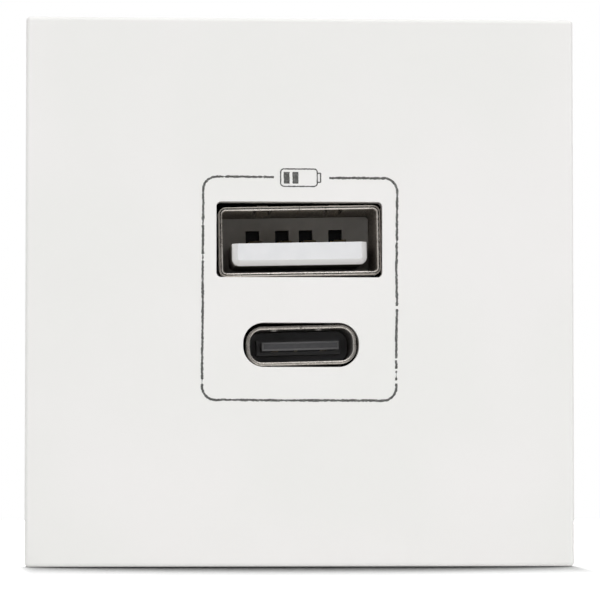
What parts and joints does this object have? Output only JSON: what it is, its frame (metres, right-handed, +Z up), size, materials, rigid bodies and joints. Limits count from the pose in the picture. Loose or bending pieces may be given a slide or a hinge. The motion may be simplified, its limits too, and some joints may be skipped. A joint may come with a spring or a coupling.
{
  "type": "usb wall socket",
  "caption": "Square white flush wall module that charges through a USB-A and a USB-C socket, with snap tongues and two screw terminals at the rear.",
  "frame": {"origin": "middle of the seat, the plane of the cover's rear rim that bears on the mounting frame", "axes": "+X right as the user faces the sockets, +Y into the wall, +Z up"},
  "size_m": [0.045, 0.0363, 0.045],
  "materials": {
    "cover_plastic": "satin white moulded plastic, fine even texture",
    "housing_plastic": "matt white moulded plastic",
    "shell_metal": "nickel-plated sheet steel",
    "white_insulator": "white moulded plastic, matt",
    "black_insulator": "dark moulded plastic, matt",
    "gold_contact": "gold-plated copper alloy",
    "tin_contact": "tin-plated copper alloy",
    "board": "green glass-fibre laminate",
    "terminal_plastic": "dark grey moulded plastic",
    "screw_steel": "zinc-plated steel",
    "cage_steel": "nickel-plated steel",
    "ferrite": "dark grey sintered ferrite",
    "winding": "copper wire under yellow tape",
    "copper_wire": "enamelled copper wire",
    "bobbin_plastic": "black moulded plastic",
    "can_sleeve": "aluminium can under a dark sleeve",
    "can_metal": "bare aluminium can",
    "film_cup": "yellow plastic cup",
    "ceramic_coat": "blue dipped coating",
    "fuse_cap": "dark plastic cap",
    "package_plastic": "black moulded package",
    "barrier_plastic": "pale insulating sheet"
  },
  "bodies": {
    "charger": {"front_cover": "cover_plastic", "rear_housing": "housing_plastic", "usb_a_shell": "shell_metal", "usb_a_insulator": "white_insulator", "usb_c_shell": "shell_metal", "usb_c_insulator": "black_insulator", "usb_c_midplate": "cage_steel", "bulk_capacitor_1": "can_sleeve", "bulk_capacitor_2": "can_sleeve", "output_capacitor_1": "can_metal", "output_capacitor_2": "can_metal", "choke_core": "ferrite", "choke_winding": "copper_wire", "film_capacitor": "film_cup", "transformer_core_1": "ferrite", "transformer_core_2": "ferrite", "transformer_bobbin": "bobbin_plastic", "transformer_winding": "winding", "transformer_pins": "tin_contact", "fuse": "fuse_cap", "disc_capacitor": "ceramic_coat", "link_strip": "bobbin_plastic", "insulating_barrier": "barrier_plastic", "controller_chip": "package_plastic", "output_rectifier": "package_plastic", "bridge_rectifier": "package_plastic", "port_chip": "package_plastic", "terminal_block": "terminal_plastic", "contact_bar_live": "tin_contact", "contact_bar_neutral": "tin_contact", "main_board": "board", "port_board": "board", "port_board_screws": "screw_steel", "main_board_screws": "screw_steel", "usb_a_contact_1": "gold_contact", "link_pin_1": "tin_contact", "usb_a_contact_2": "gold_contact", "link_pin_2": "tin_contact", "usb_a_contact_3": "gold_contact", "link_pin_3": "tin_contact", "usb_a_contact_4": "gold_contact", "link_pin_4": "tin_contact", "usb_c_contact_1": "gold_contact", "usb_c_contact_2": "gold_contact", "usb_c_contact_3": "gold_contact", "usb_c_contact_4": "gold_contact", "usb_c_contact_5": "gold_contact", "usb_c_contact_6": "gold_contact"},
    "live_screw": {"terminal_screw_live": "screw_steel"},
    "live_cage": {"clamp_cage_live": "cage_steel"},
    "neutral_screw": {"terminal_screw_neutral": "screw_steel"},
    "neutral_cage": {"clamp_cage_neutral": "cage_steel"}
  },
  "joints": [
    {"name": "live_screw_turn", "type": "hinge", "parent": "charger", "child": "live_screw", "pos_m": [-0.00375, 0.026, -0.0147], "axis": [0, -1, 0], "range_deg": [0, 1584]},
    {"name": "live_cage_lift", "type": "slide", "parent": "charger", "child": "live_cage", "axis": [0, 1, 0], "range_m": [0, 0.0022]},
    {"name": "neutral_screw_turn", "type": "hinge", "parent": "charger", "child": "neutral_screw", "pos_m": [0.00375, 0.026, -0.0147], "axis": [0, -1, 0], "range_deg": [0, 1584]},
    {"name": "neutral_cage_lift", "type": "slide", "parent": "charger", "child": "neutral_cage", "axis": [0, 1, 0], "range_m": [0, 0.0022]}
  ],
  "couplings": [
    {"joint": "live_screw_turn", "follows": "live_cage_lift", "rad_per_m": 12566},
    {"joint": "neutral_screw_turn", "follows": "neutral_cage_lift", "rad_per_m": 12566}
  ]
}
